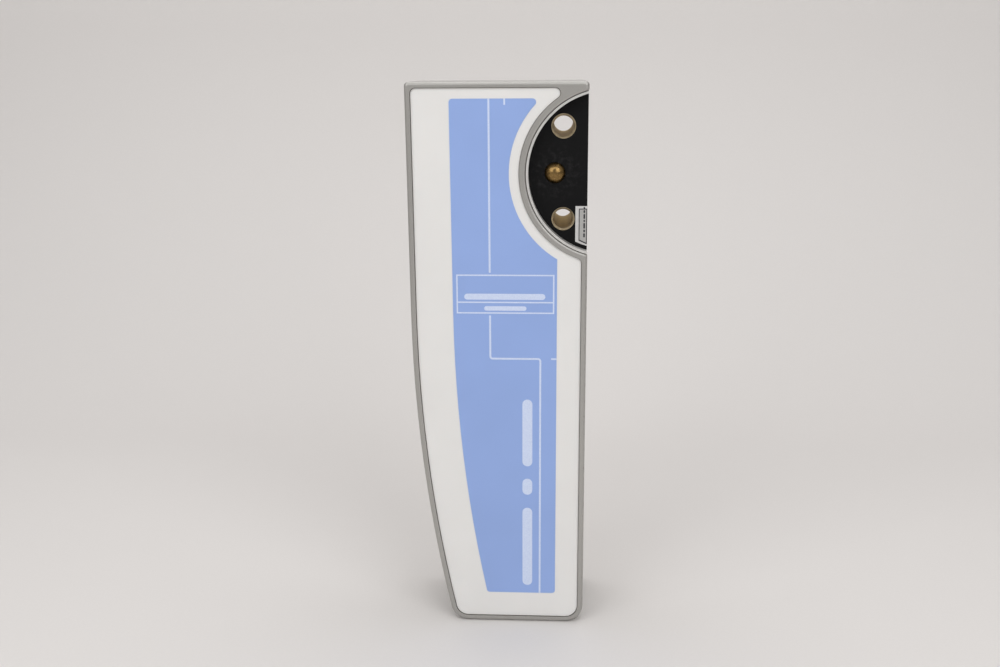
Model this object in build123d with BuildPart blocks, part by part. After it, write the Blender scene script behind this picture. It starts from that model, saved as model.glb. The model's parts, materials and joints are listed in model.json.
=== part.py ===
from build123d import *

import os
from math import asin, cos, degrees, radians, sin, sqrt, tan

# A detachable line-scan X-ray sensor head for the cephalometric arm of a dental X-ray unit.
# Millimetres. X to the right seen from the front, Y to the back, Z up; it stands on its base,
# with the origin under the middle of its bounding box. The window faces -Y.

# ---------------------------------------------------------------- driving dimensions

# Housing outline, seen from the front
WIDTH = 93.8
HEIGHT = 298.2
DEPTH = 56.0
SIDE_LEAN = 0.32            # degrees that the upper left side leans in towards the base
BEND_HEIGHT = 179.4         # where the left side starts to curve in
BEND_RADIUS = 830.0
TOP_CORNER = 2.0
BOTTOM_CORNER = 10.0
EDGE_ROUND = 1.8            # rounding of the front and back edges
LIP_ROUND = 1.4             # rounding of the lip along the dock bay

# Walls
RIM = 2.9                   # wall of the frame and the rear housing
FRAME_DEPTH = 20.0          # front face to seam
BACK_WALL = 3.0
SEAL_DEPTH = 1.0            # groove for the seam seal
SEAL_WIDTH = 1.2
SEAL_INSET = 0.95           # groove to the cavity
LEDGE_WIDTH = 2.5
LEDGE_THICKNESS = 2.0

# Dock bay: a round bite out of the right side, centred outside the housing
DOCK_OUT = 10.8             # centre beyond the right side
DOCK_RADIUS = 43.0
DOCK_ROOF = 3.2             # housing left above the bay
DOCK_RIM = 3.3              # wall round the bay
DOCK_RECESS = 7.0           # front face to the face of the black block
RING_WALL = 1.2
RING_SETBACK = 0.5
BLOCK_SETBACK = 0.2         # block behind the plane of the right side, and of the back

# Window
WINDOW_RECESS = 1.0
PANEL_THICKNESS = 3.0
PANEL_EDGE = 0.3
GASKET_THICKNESS = 0.6
FILM_THICKNESS = 0.2
FILM_LEFT = 22.6            # margins of the printed film inside the housing outline
FILM_RIGHT = 15.65
FILM_TOP = 8.4
FILM_BOTTOM = 17.4
FILM_DOCK_GAP = 8.6         # film to the bay's edge
FILM_CORNER = 1.8

# Guide bushings, on the dock bay's own centre height
BUSH_FROM_RIGHT = 12.8
BUSH_SPREAD = 47.6          # centre to centre
UPPER_BUSH_RADIUS = 6.3
LOWER_BUSH_RADIUS = 6.0
UPPER_BORE_RADIUS = 5.2
LOWER_BORE_RADIUS = 5.0
BUSH_PROUD = 0.3
BUSH_CHAMFER = 0.8
BAY_SCREW_TURN = 28.0       # the block's screws sit this far above and below the bay's centre
BAY_SCREW_BITE = 8.0        # their length in the block
BAY_SCREW_FRONT = 2.0       # their depths along Y
BAY_SCREW_BACK = 20.0

# Ball detent between the bushings
BALL_RADIUS = 5.75
BALL_FROM_RIGHT = 17.1
BALL_PROUD = 3.6
BALL_LIP = 1.2              # thickness of the lip that keeps the ball in
CUP_LIP = 2.5               # the follower's cup starts this far behind the ball's centre
CUP_FLOOR = 2.7             # its thickness behind the ball
FOLLOWER_PIN_RADIUS = 2.5
FOLLOWER_PIN_LENGTH = 4.0
SPRING_RADIUS = 4.2
SPRING_WIRE = 1.0
SPRING_TURNS = 6.0
PLUG_LENGTH = 20.0
PLUG_SETBACK = 0.8          # plug inside the block's back
HEX_FLATS = 5.0
HEX_DEPTH = 5.0

# Docking connector in the block's right face
SOCKET_HEIGHT = 30.0
SOCKET_DEPTH = 18.0         # along Y
SOCKET_REACH = 9.5          # into the block, along X
SOCKET_FRONT = 0.0
SOCKET_LIFT = 1.0           # socket centre above the bay's centre
SHELL_WALL = 1.2
INSERT_REACH = 2.5
PIN_RADIUS = 0.5
PIN_REACH = 2.6
PIN_PITCH = 2.54
PIN_COLUMN = 9

# Wire channel from the socket through the bay wall
CHANNEL = 6.0
CHANNEL_LIFT = 11.5         # above the bay's centre
HARNESS_WIDE = 4.6
HARNESS_THICK = 2.6
HARNESS_PLUG = 6.0          # length of the board socket it ends in
HARNESS_LIFT = 1.4          # harness above the board
HARNESS_INSET = 1.0         # that socket in from the board's edge

# Sticker on the block
STICKER_WIDTH = 6.1
STICKER_HEIGHT = 22.8
STICKER_DROP = 17.2         # top edge below the bay's centre
STICKER_THICKNESS = 0.2
STICKER_EDGE = 1.9          # inside the block's round edge

# Line detectors: two modules, staggered, one above the other
UPPER_CASE_GAP = 4.45       # upper case to the wall round the dock bay
LOWER_LINE = 24.25          # lower line to the right side
CASE_WIDTH = 22.0
CASE_WALL = 2.0
CASE_OVERRUN = 2.0          # case beyond each end of its active line
CASE_DEPTH = 13.5
MASK_THICKNESS = 1.5
MASK_SLIT = 8.0
PAD_THICKNESS = 2.4
CARRIER_THICKNESS = 1.6
CARRIER_WIDTH = 16.0
CHIP_THICKNESS = 0.8
CHIP_WIDTH = 9.0
CHIP_COUNT = 3
PLATE_THICKNESS = 3.5
PLATE_WIDTH = 7.0
SCREEN_THICKNESS = 0.4
FLEX_WIDTH = 12.0
FLEX_THICKNESS = 0.3
FLEX_SLOT = 2.0

# Chassis and boards
CHASSIS_THICKNESS = 3.0
CHASSIS_NOSE = 3.0          # frame bosses reach this far behind the seam
CHASSIS_GAP = 1.0
BOARD_THICKNESS = 1.6
STANDOFF_LENGTH = 7.0
STANDOFF_RADIUS = 3.0
STANDOFF_INSET = 4.0
BOARD_EDGE = 3.0            # board to the nearest wall
UPPER_BOARD_MARGIN = 7.0
LOWER_BOARD_MARGIN = 7.0
UPPER_BOARD_DROP = 15.2     # below the top
UPPER_BOARD_TAIL = 32.0     # its bottom below the foot of the bay
BOARD_SPACING = 18.0        # between the two boards
LOWER_BOARD_LOW = 22.0

# Parts on the boards; places are shares of a board's width and height
READOUT_CHIPS = [(0.2, 0.16), (0.5, 0.16), (0.8, 0.16), (0.2, 0.86), (0.5, 0.86)]
READOUT_CHIP = (12.0, 2.2)      # side and height
PROCESSOR_CHIPS = [(0.3, 0.72), (0.7, 0.72), (0.5, 0.52)]
PROCESSOR_CHIP = (17.0, 2.6)
CAN_SIZE = (30.0, 5.0, 34.0)    # along X, Y and Z
CAN_WALL = 0.4
CAN_ACROSS = 0.42
CAN_UP = 0.45
POWER_SIZE = (26.0, 9.0, 24.0)
POWER_ROUND = 1.0
POWER_ACROSS = 0.3
SUPPLY_RISE = 22.0              # power module and capacitors above the board's bottom
CAPACITOR_ROW = [0.62, 0.78]
CAPACITOR_RADIUS = 4.0
CAPACITOR_HEIGHT = 9.0
CAPACITOR_ROUND = 0.7
FLEX_SOCKET = 2.5               # height of the flex sockets
LINK_ROOM = 1.9                 # link sockets to the nearest screw head
LINK_WIDTH = 14.0
LINK_HEIGHT = 4.0
LINK_INSET = 4.0                # link sockets in from the boards' ends
CASE_SCREW_INSET = 4.0
PACKAGE_CORNER = 1.0            # bevel on the corners of chips
CHIP_TRIM = 1.0
CHIP_JOINT = 0.05
STRAP_FROM_RIGHT = 28.9
STRAP_DROP = 8.0                # below the foot of the bay
STRAP_WIDTH = 6.0
STRAP_REACH = 9.0
STRAP_THICKNESS = 0.8

# Fasteners
BOSS_FROM_WALL = 5.6        # boss centre to the inside of the wall
BOSS_RADIUS = 5.5
NOSE_RADIUS = 4.0
UPPER_BOSS_GAP = 1.7        # boss beside the upper detector's case
LEFT_BOSS_DROP = 40.0       # middle bosses below the foot of the dock bay
RIGHT_BOSS_DROP = 25.0
M3_RADIUS = 1.5
M3_HEAD_RADIUS = 2.75
M3_HEAD_LENGTH = 2.4
M25_RADIUS = 1.25
M25_HEAD_RADIUS = 2.25
M25_HEAD_LENGTH = 1.5
LONG_SCREW_SEAT = 8.0       # depth at which the long screws' heads sit, from the seam
LONG_SCREW_BITE = 10.0      # their length ahead of the seam
SLOT_WIDTH = 0.6            # cross slots of the screws
SLOT_REACH = 1.3            # their length in head radii
SLOT_DEPTH = 1.0
WELL_RADIUS = 3.3

# Service cover
COVER_INSET = 13.0
COVER_LOW = 24.0
COVER_DROP = 14.0           # its top below the foot of the dock bay
COVER_THICKNESS = 1.6
COVER_LEDGE = 8.0
COVER_CORNER = 4.0
COVER_SCREW_INSET = 5.0
COVER_SCREW_BITE = 3.0      # screw length inside the wall
COVER_BOSS_WALL = 2.0
COVER_BOSS_LENGTH = 4.0

# Clearances
PANEL_GAP = 0.12
RING_GAP = 0.15
BLOCK_GAP = 0.1
COVER_GAP = 0.2
SEAL_GAP = 0.05
SCREW_GAP = 0.05            # screw in its tapped hole
PASS_GAP = 0.2              # screw through a plain hole
BALL_GAP = 0.05             # ball and follower in their bore
PART_GAP = 0.2              # between neighbours that don't seat on each other

# ---------------------------------------------------------------- places worked out from them

RIGHT = WIDTH / 2
LEFT = -WIDTH / 2
FRONT = -DEPTH / 2
BACK = DEPTH / 2
BOSS_INSET = RIM + BOSS_FROM_WALL
SEAM = FRONT + FRAME_DEPTH
DOCK = (RIGHT + DOCK_OUT, HEIGHT - DOCK_ROOF - DOCK_RADIUS)
BAY_FOOT = DOCK[1] - sqrt(DOCK_RADIUS**2 - DOCK_OUT**2)     # where the bay ends on the right side
BEND_X = LEFT + (HEIGHT - BEND_HEIGHT) * tan(radians(SIDE_LEAN))
BEND_CENTRE = (
    BEND_X + BEND_RADIUS * cos(radians(SIDE_LEAN)),
    BEND_HEIGHT + BEND_RADIUS * sin(radians(SIDE_LEAN)),
)


def side_x(z):
    """Left side of the housing outline at height z."""
    if z >= BEND_HEIGHT:
        return LEFT + (HEIGHT - z) * tan(radians(SIDE_LEAN))
    return BEND_CENTRE[0] - sqrt(BEND_RADIUS**2 - (BEND_CENTRE[1] - z) ** 2)


PANEL_FRONT = FRONT + WINDOW_RECESS
PANEL_BACK = PANEL_FRONT + PANEL_THICKNESS
LEDGE_FRONT = PANEL_BACK + GASKET_THICKNESS
LEDGE_BACK = LEDGE_FRONT + LEDGE_THICKNESS
WALL_FRONT = BACK - BACK_WALL

BLOCK_FRONT = FRONT + DOCK_RECESS
BLOCK_BACK = BACK - BLOCK_SETBACK
BLOCK_RIGHT = RIGHT - BLOCK_SETBACK
RING_OUTER = DOCK_RADIUS - RING_GAP
RING_INNER = RING_OUTER - RING_WALL
BLOCK_RADIUS = RING_INNER - BLOCK_GAP

CHASSIS_FRONT = SEAM + CHASSIS_NOSE
CHASSIS_BACK = CHASSIS_FRONT + CHASSIS_THICKNESS
BOARD_FRONT = CHASSIS_BACK + STANDOFF_LENGTH
BOARD_BACK = BOARD_FRONT + BOARD_THICKNESS
LONG_SEAT = SEAM + LONG_SCREW_SEAT

CASE_BACK = CHASSIS_FRONT
CASE_FRONT = CASE_BACK - CASE_DEPTH
CASE_FLOOR = CASE_BACK - CASE_WALL
CARRIER_BACK = CASE_FLOOR - PAD_THICKNESS
CHIP_BACK = CARRIER_BACK - CARRIER_THICKNESS
PLATE_BACK = CHIP_BACK - CHIP_THICKNESS
SCREEN_BACK = PLATE_BACK - PLATE_THICKNESS

WALL_IN_BAY = DOCK_RADIUS + DOCK_RIM
BAY_CUTTER = 6 * DOCK_RIM       # length of the cutters that go through the wall round the bay
FILM_DOCK_RADIUS = DOCK_RADIUS + FILM_DOCK_GAP

LINE_LENGTH = (HEIGHT - FILM_TOP - FILM_BOTTOM) / 2
DETECTORS = {
    "upper": (DOCK[0] - WALL_IN_BAY - UPPER_CASE_GAP - CASE_WIDTH / 2, FILM_BOTTOM + LINE_LENGTH),
    "lower": (RIGHT - LOWER_LINE, FILM_BOTTOM),
}
FLEX_HEIGHT = {name: low + LINE_LENGTH / 2 for name, (_, low) in DETECTORS.items()}

BUSHINGS = {
    "upper": (RIGHT - BUSH_FROM_RIGHT, DOCK[1] + BUSH_SPREAD / 2, UPPER_BUSH_RADIUS, UPPER_BORE_RADIUS),
    "lower": (RIGHT - BUSH_FROM_RIGHT, DOCK[1] - BUSH_SPREAD / 2, LOWER_BUSH_RADIUS, LOWER_BORE_RADIUS),
}
BALL = (RIGHT - BALL_FROM_RIGHT, DOCK[1])
BALL_Y = BLOCK_FRONT - BALL_PROUD + BALL_RADIUS
BALL_BORE = BALL_RADIUS + BALL_GAP
FOLLOWER_FRONT = BALL_Y + CUP_LIP
FOLLOWER_BACK = BALL_Y + BALL_BORE + CUP_FLOOR
PLUG_BACK = BLOCK_BACK - PLUG_SETBACK
PLUG_FRONT = PLUG_BACK - PLUG_LENGTH
SPRING_LENGTH = PLUG_FRONT - FOLLOWER_BACK

SOCKET_Z = DOCK[1] + SOCKET_LIFT
SOCKET_FLOOR = BLOCK_RIGHT - SOCKET_REACH
CHANNEL_Z = DOCK[1] + CHANNEL_LIFT
CHANNEL_Y = BOARD_BACK + HARNESS_LIFT + HARNESS_THICK / 2

UPPER_BOARD = (                  # left, right, bottom, top
    side_x(HEIGHT) + RIM + UPPER_BOARD_MARGIN,
    DOCK[0] - WALL_IN_BAY - BOARD_EDGE,
    BAY_FOOT - UPPER_BOARD_TAIL,
    HEIGHT - UPPER_BOARD_DROP,
)
LOWER_BOARD = (
    side_x(LOWER_BOARD_LOW) + RIM + BOARD_EDGE,
    RIGHT - RIM - LOWER_BOARD_MARGIN,
    LOWER_BOARD_LOW,
    BAY_FOOT - UPPER_BOARD_TAIL - BOARD_SPACING,
)
HARNESS_END = UPPER_BOARD[1] - HARNESS_INSET
LINK_RIGHT = UPPER_BOARD[1] - STANDOFF_INSET - M25_HEAD_RADIUS - LINK_ROOM
LINK_X = LINK_RIGHT - (LINK_WIDTH + FLEX_SLOT) / 2
LINK_ENDS = (LOWER_BOARD[3] - LINK_INSET, UPPER_BOARD[2] + LINK_INSET)

COVER_HIGH = BAY_FOOT - COVER_DROP
STRAP = (RIGHT - STRAP_FROM_RIGHT, CHASSIS_BACK, BAY_FOOT - STRAP_DROP)
BOARDS = {"readout": UPPER_BOARD, "processor": LOWER_BOARD}

ALIGN_LOW = (Align.CENTER, Align.MIN, Align.MIN)
ALIGN_MID = (Align.CENTER, Align.MIN, Align.CENTER)


def face_at(y):
    """Upright plane at depth y, seen from the front: X to the right, Z up."""
    return Plane.XZ.offset(-y)


def dock_x(z, radius):
    """Where a circle about the dock centre crosses height z, on its left."""
    return DOCK[0] - sqrt(radius**2 - (z - DOCK[1]) ** 2)


def dock_foot(x, radius):
    """Where a circle about the dock centre crosses the upright line at x, below the centre."""
    return DOCK[1] - sqrt(radius**2 - (DOCK[0] - x) ** 2)


def outline(inset=0.0):
    """Sharp-cornered outline of the housing without its dock bay, pulled in by inset."""
    sweep_angle = degrees(asin(BEND_CENTRE[1] / BEND_RADIUS)) - SIDE_LEAN
    lean = radians(SIDE_LEAN)
    with BuildSketch() as shape:
        with BuildLine():
            Line((RIGHT, 0), (RIGHT, HEIGHT))
            Line((RIGHT, HEIGHT), (LEFT, HEIGHT))
            Line((LEFT, HEIGHT), (BEND_X, BEND_HEIGHT))
            curve = JernArc((BEND_X, BEND_HEIGHT), (sin(lean), -cos(lean)), BEND_RADIUS, sweep_angle)
            Line(curve @ 1, (RIGHT, 0))
        make_face()
        if inset > 0:
            offset(amount=-inset, kind=Kind.INTERSECTION)
    return shape.sketch


def skin_face():
    """Outer outline of the housing with its dock bay and rounded corners."""
    corners = [
        ((LEFT, HEIGHT), TOP_CORNER),
        ((RIGHT, HEIGHT), TOP_CORNER),
        ((RIGHT, 0), BOTTOM_CORNER),
        ((side_x(0), 0), BOTTOM_CORNER),
    ]
    with BuildSketch() as shape:
        add(outline())
        with Locations(DOCK):
            Circle(DOCK_RADIUS, mode=Mode.SUBTRACT)
        for spot, radius in corners:
            fillet(shape.vertices().sort_by_distance((*spot, 0))[0], radius)
    return shape.sketch


def inner_face(inset, dock_radius, corner, foot_corner):
    """Outline pulled in by inset and cut back from the dock bay, with rounded corners."""
    top = HEIGHT - inset
    corners = [
        ((LEFT + inset, top), corner),
        ((dock_x(top, dock_radius), top), corner),
        ((RIGHT - inset, dock_foot(RIGHT - inset, dock_radius)), corner),
        ((RIGHT - inset, inset), foot_corner),
        ((side_x(inset) + inset, inset), foot_corner),
    ]
    with BuildSketch() as shape:
        add(outline(inset))
        with Locations(DOCK):
            Circle(dock_radius, mode=Mode.SUBTRACT)
        for spot, radius in corners:
            fillet(shape.vertices().sort_by_distance((*spot, 0))[0], radius)
    return shape.sketch


def bay_face(outer_radius, inner_radius=0.0):
    """Part of a disc or ring about the dock centre that lies inside the right side."""
    with BuildSketch() as shape:
        with Locations(DOCK):
            Circle(outer_radius)
            if inner_radius > 0:
                Circle(inner_radius, mode=Mode.SUBTRACT)
        with Locations((BLOCK_RIGHT, DOCK[1])):
            Rectangle(2 * WIDTH, HEIGHT, align=(Align.MAX, Align.CENTER), mode=Mode.INTERSECT)
    return shape.sketch


SKIN = skin_face()
POCKET = inner_face(RIM, DOCK_RADIUS + DOCK_RIM, RIM, BOTTOM_CORNER - RIM)


def boss_spots():
    """Centres of the six screw bosses that hold frame, chassis and rear housing together."""
    right = RIGHT - BOSS_INSET
    top = HEIGHT - BOSS_INSET
    left_middle = BAY_FOOT - LEFT_BOSS_DROP
    return [
        (LEFT + BOSS_INSET, top),
        (DETECTORS["upper"][0] + CASE_WIDTH / 2 + UPPER_BOSS_GAP + BOSS_RADIUS, top),
        (side_x(left_middle) + BOSS_INSET, left_middle),
        (right, BAY_FOOT - RIGHT_BOSS_DROP),
        (right, BOSS_INSET),
        (side_x(BOSS_INSET) + BOSS_INSET, BOSS_INSET),
    ]


# ---------------------------------------------------------------- housing


def soften(piece, y):
    """Round the outer edges of the face at depth y, and more finely the lip along the dock bay."""
    face = piece.faces().filter_by(Axis.Y).sort_by(lambda f: abs(f.center().Y - y))[0]
    rest = face.edges().filter_by(lambda e: not on_dock_lip(e, y))
    fillet(rest, EDGE_ROUND)
    fillet(piece.edges().filter_by(lambda e: on_dock_lip(e, y)), LIP_ROUND)


def on_dock_lip(edge, y):
    """Whether an edge is the dock bay's arc at depth y."""
    if edge.geom_type != GeomType.CIRCLE:
        return False
    return abs(edge.radius - DOCK_RADIUS) < 0.01 and abs(edge.center().Y - y) < 0.01


def front_frame():
    """Painted light-alloy frame: the rim round the window, its ledge and six screw bosses."""
    with BuildPart() as frame:
        with BuildSketch(face_at(SEAM)):
            add(SKIN)
        extrude(amount=SEAM - FRONT)
        soften(frame, FRONT)
        with BuildSketch(face_at(LEDGE_FRONT)):
            add(POCKET)
        extrude(amount=LEDGE_FRONT - FRONT, mode=Mode.SUBTRACT)
        with BuildSketch(face_at(LEDGE_BACK)):
            offset(POCKET, amount=-LEDGE_WIDTH)
        extrude(amount=LEDGE_THICKNESS, mode=Mode.SUBTRACT)
        with BuildSketch(face_at(SEAM)):
            add(POCKET)
        extrude(amount=SEAM - LEDGE_BACK, mode=Mode.SUBTRACT)
        with BuildSketch(face_at(SEAM)):
            with Locations(boss_spots()):
                Circle(BOSS_RADIUS)
        extrude(amount=SEAM - LEDGE_BACK)
        with BuildSketch(face_at(CHASSIS_FRONT)):
            with Locations(boss_spots()):
                Circle(NOSE_RADIUS)
        extrude(amount=CHASSIS_NOSE)
        with BuildSketch(face_at(CHASSIS_FRONT)):
            with Locations(boss_spots()):
                Circle(M3_RADIUS + SCREW_GAP)
        extrude(amount=CHASSIS_FRONT - LEDGE_BACK, mode=Mode.SUBTRACT)
    return frame.part


def cover_face(inset=0.0):
    """Outline of the service opening's recess, following the housing, pulled in by inset."""
    middle = (COVER_LOW + COVER_HIGH) / 2
    with BuildSketch() as shape:
        add(outline(COVER_INSET))
        with Locations((0, middle)):
            Rectangle(2 * WIDTH, COVER_HIGH - COVER_LOW, mode=Mode.INTERSECT)
        fillet(shape.vertices(), COVER_CORNER)
        if inset > 0:
            offset(amount=-inset)
    return shape.sketch


def cover_screw_spots():
    """Centres of the six screws of the service cover, three down each side."""
    reach = COVER_INSET + COVER_SCREW_INSET
    heights = [
        COVER_LOW + COVER_SCREW_INSET,
        (COVER_LOW + COVER_HIGH) / 2,
        COVER_HIGH - COVER_SCREW_INSET,
    ]
    spots = [(RIGHT - reach, z) for z in heights]
    spots += [(side_x(z) + reach, z) for z in heights]
    return spots


def bay_screw_planes():
    """Planes of the four screws that hold the dock block, each facing out of the bay wall."""
    planes = []
    for turn in (-BAY_SCREW_TURN, BAY_SCREW_TURN):
        for y in (BAY_SCREW_FRONT, BAY_SCREW_BACK):
            out = Vector(-cos(radians(turn)), 0, sin(radians(turn)))
            seat = Vector(DOCK[0], y, DOCK[1]) + out * (DOCK_RADIUS + DOCK_RIM)
            planes.append(Plane(origin=seat, x_dir=(0, 1, 0), z_dir=out))
    return planes


def rear_housing():
    """Painted light-alloy tub behind the seam, with bosses, screw wells and service opening."""
    with BuildPart() as tub:
        with BuildSketch(face_at(BACK)):
            add(SKIN)
        extrude(amount=BACK - SEAM)
        soften(tub, BACK)
        with BuildSketch(face_at(WALL_FRONT)):
            add(POCKET)
        extrude(amount=WALL_FRONT - SEAM, mode=Mode.SUBTRACT)
        with BuildSketch(face_at(WALL_FRONT)):
            with Locations(boss_spots()):
                Circle(BOSS_RADIUS)
        extrude(amount=WALL_FRONT - CHASSIS_BACK)
        with BuildSketch(face_at(BACK)):
            with Locations(boss_spots()):
                Circle(M3_RADIUS + PASS_GAP)
        extrude(amount=BACK - CHASSIS_BACK, mode=Mode.SUBTRACT)
        with BuildSketch(face_at(BACK)):
            with Locations(boss_spots()):
                Circle(WELL_RADIUS)
        extrude(amount=BACK - LONG_SEAT, mode=Mode.SUBTRACT)
        with BuildSketch(face_at(WALL_FRONT)):
            with Locations(cover_screw_spots()):
                Circle(M3_RADIUS + COVER_BOSS_WALL)
        extrude(amount=COVER_BOSS_LENGTH)
        with BuildSketch(face_at(BACK)):
            add(cover_face())
        extrude(amount=COVER_THICKNESS, mode=Mode.SUBTRACT)
        with BuildSketch(face_at(BACK)):
            add(cover_face(COVER_LEDGE))
        extrude(amount=BACK_WALL, mode=Mode.SUBTRACT)
        with BuildSketch(face_at(BACK)):
            with Locations(cover_screw_spots()):
                Circle(M3_RADIUS + SCREW_GAP)
        extrude(amount=BACK_WALL + COVER_BOSS_LENGTH, mode=Mode.SUBTRACT)
        with BuildSketch(face_at(SEAM + SEAL_DEPTH)):
            add(seal_face(0))
        extrude(amount=SEAL_DEPTH, mode=Mode.SUBTRACT)
        for plane in bay_screw_planes():
            with Locations(plane):
                Cylinder(M3_RADIUS + PASS_GAP, BAY_CUTTER, mode=Mode.SUBTRACT)
        with Locations((DOCK[0] - DOCK_RADIUS, CHANNEL_Y, CHANNEL_Z)):
            Box(BAY_CUTTER, CHANNEL, CHANNEL, mode=Mode.SUBTRACT)
    return tub.part


def seal_face(gap):
    """Loop of the seam seal, set into the wall round the cavity, with gap left on each side."""
    with BuildSketch() as shape:
        offset(POCKET, amount=SEAL_INSET + SEAL_WIDTH - gap)
        offset(POCKET, amount=SEAL_INSET + gap, mode=Mode.SUBTRACT)
    return shape.sketch


def seam_seal():
    """Dust and screening seal squeezed in the rear housing's groove at the seam."""
    with BuildPart() as seal:
        with BuildSketch(face_at(SEAM + SEAL_DEPTH)):
            add(seal_face(SEAL_GAP))
        extrude(amount=SEAL_DEPTH)
    return seal.part


def service_cover():
    """Flat cover let into the back of the rear housing."""
    with BuildPart() as cover:
        with BuildSketch(face_at(BACK)):
            offset(cover_face(), amount=-COVER_GAP)
            with Locations(cover_screw_spots()):
                Circle(M3_RADIUS + PASS_GAP, mode=Mode.SUBTRACT)
        extrude(amount=COVER_THICKNESS - SEAL_GAP)
        for x, z in cover_screw_spots():
            with Locations(Plane(origin=(x, BACK, z), x_dir=(1, 0, 0), z_dir=(0, 1, 0))):
                Cone(M3_RADIUS + PASS_GAP, M3_HEAD_RADIUS + PASS_GAP, COVER_THICKNESS - SEAL_GAP,
                     align=(Align.CENTER, Align.CENTER, Align.MAX), mode=Mode.SUBTRACT)
    return cover.part


# ---------------------------------------------------------------- fasteners


def screws(planes, shank, head_radius, head_length, shank_radius):
    """Cheese-head screws with a cross slot; each plane lies under the head and faces out of it."""
    with BuildPart() as group:
        for plane in planes:
            with Locations(plane):
                Cylinder(head_radius, head_length, align=(Align.CENTER, Align.CENTER, Align.MIN))
                Cylinder(shank_radius, shank, align=(Align.CENTER, Align.CENTER, Align.MAX))
            with Locations(plane.offset(head_length)):
                for turn in (0, 90):
                    Box(SLOT_REACH * head_radius, SLOT_WIDTH, 2 * SLOT_DEPTH, rotation=(0, 0, turn),
                        mode=Mode.SUBTRACT)
    return group.part


def back_planes(spots, y):
    """Planes at depth y whose screws are driven from behind."""
    return [Plane(origin=(x, y, z), x_dir=(1, 0, 0), z_dir=(0, 1, 0)) for x, z in spots]


def housing_screws():
    """Six long screws through rear housing and chassis into the frame."""
    shank = LONG_SEAT - SEAM + LONG_SCREW_BITE
    return screws(back_planes(boss_spots(), LONG_SEAT), shank, M3_HEAD_RADIUS, M3_HEAD_LENGTH, M3_RADIUS)


def cover_screws():
    """Six countersunk screws of the service cover."""
    with BuildPart() as group:
        for plane in back_planes(cover_screw_spots(), BACK):
            with Locations(plane):
                Cone(M3_RADIUS, M3_HEAD_RADIUS, COVER_THICKNESS - SEAL_GAP,
                     align=(Align.CENTER, Align.CENTER, Align.MAX))
                Cylinder(M3_RADIUS, BACK_WALL + COVER_SCREW_BITE,
                         align=(Align.CENTER, Align.CENTER, Align.MAX))
                for turn in (0, 90):
                    Box(SLOT_REACH * M3_HEAD_RADIUS, SLOT_WIDTH, SLOT_DEPTH, rotation=(0, 0, turn),
                        mode=Mode.SUBTRACT)
    return group.part


def bay_screws():
    """Four screws from inside the housing into the dock block."""
    shank = DOCK_RIM + RING_WALL + BAY_SCREW_BITE
    return screws(bay_screw_planes(), shank, M3_HEAD_RADIUS, M3_HEAD_LENGTH, M3_RADIUS)


# ---------------------------------------------------------------- window


def window_panel():
    """White moulded window that lets the beam in."""
    with BuildPart() as panel:
        with BuildSketch(face_at(PANEL_BACK)):
            offset(POCKET, amount=-PANEL_GAP)
        extrude(amount=PANEL_THICKNESS)
        edges = panel.faces().filter_by(Axis.Y).sort_by(Axis.Y)[0].edges()
        fillet(edges, PANEL_EDGE)
    return panel.part


def window_gasket():
    """Adhesive foam ring between window and ledge."""
    with BuildPart() as gasket:
        with BuildSketch(face_at(LEDGE_FRONT)):
            offset(POCKET, amount=-PANEL_GAP)
            offset(POCKET, amount=-LEDGE_WIDTH, mode=Mode.SUBTRACT)
        extrude(amount=GASKET_THICKNESS)
    return gasket.part


def film_face():
    """Outline of the printed overlay: the housing's left curve moved in, and the dock bay's arc."""
    right = RIGHT - FILM_RIGHT
    top = HEIGHT - FILM_TOP
    corners = [
        (side_x(top) + FILM_LEFT, top),
        (dock_x(top, FILM_DOCK_RADIUS), top),
        (right, FILM_BOTTOM),
        (side_x(FILM_BOTTOM) + FILM_LEFT, FILM_BOTTOM),
    ]
    with BuildSketch() as shape:
        with Locations((FILM_LEFT, 0)):
            add(outline())
        with Locations((right, FILM_BOTTOM)):
            Rectangle(2 * WIDTH, top - FILM_BOTTOM, align=(Align.MAX, Align.MIN), mode=Mode.INTERSECT)
        with Locations(DOCK):
            Circle(FILM_DOCK_RADIUS, mode=Mode.SUBTRACT)
        for spot in corners:
            fillet(shape.vertices().sort_by_distance((*spot, 0))[0], FILM_CORNER)
    return shape.sketch


def printed_film():
    """Thin printed overlay stuck on the window."""
    with BuildPart() as film:
        with BuildSketch(face_at(PANEL_FRONT)):
            add(film_face())
        extrude(amount=FILM_THICKNESS)
    return film.part


# ---------------------------------------------------------------- dock bay


def dock_ring():
    """Bright turned ring that lines the dock bay, between housing and block."""
    with BuildPart() as ring:
        with BuildSketch(face_at(BLOCK_BACK)):
            add(bay_face(RING_OUTER, RING_INNER))
        extrude(amount=BLOCK_BACK - FRONT - RING_SETBACK)
        for plane in bay_screw_planes():
            with Locations(plane):
                Cylinder(M3_RADIUS + PASS_GAP, BAY_CUTTER, mode=Mode.SUBTRACT)
        with Locations((DOCK[0] - DOCK_RADIUS, CHANNEL_Y, CHANNEL_Z)):
            Box(BAY_CUTTER, CHANNEL, CHANNEL, mode=Mode.SUBTRACT)
    return ring.part


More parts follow.
